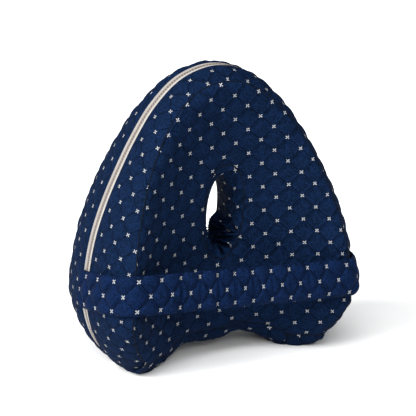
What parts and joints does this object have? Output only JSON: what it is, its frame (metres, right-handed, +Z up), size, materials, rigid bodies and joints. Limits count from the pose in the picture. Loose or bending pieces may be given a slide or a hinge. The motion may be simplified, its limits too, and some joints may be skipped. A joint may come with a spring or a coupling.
{
  "type": "knee pillow",
  "caption": "Upright quilted leg cushion with hollow faces, an open hole through its middle, a gathered elastic leg strap and a zip round its side.",
  "frame": {"origin": "middle of the footprint, on the surface the pillow stands on", "axes": "+Z up towards the narrow top, +X across the pillow to its right as seen from the strap's side, -Y out of the front face, which has the strap"},
  "size_m": [0.2443, 0.1367, 0.2496],
  "materials": {
    "quilted_jersey": "matt navy knitted jersey, quilted in diamonds with a small pale cross woven at each corner",
    "elastic_band": "the same quilted jersey, gathered by elastic",
    "zip_tape": "pale grey woven tape",
    "zip_teeth": "taupe nylon coil"
  },
  "bodies": {
    "root": {"cushion": "quilted_jersey", "strap": "elastic_band", "zip_tape_front": "zip_tape", "zip_tape_back": "zip_tape", "zip_coil": "zip_teeth"}
  },
  "joints": []
}
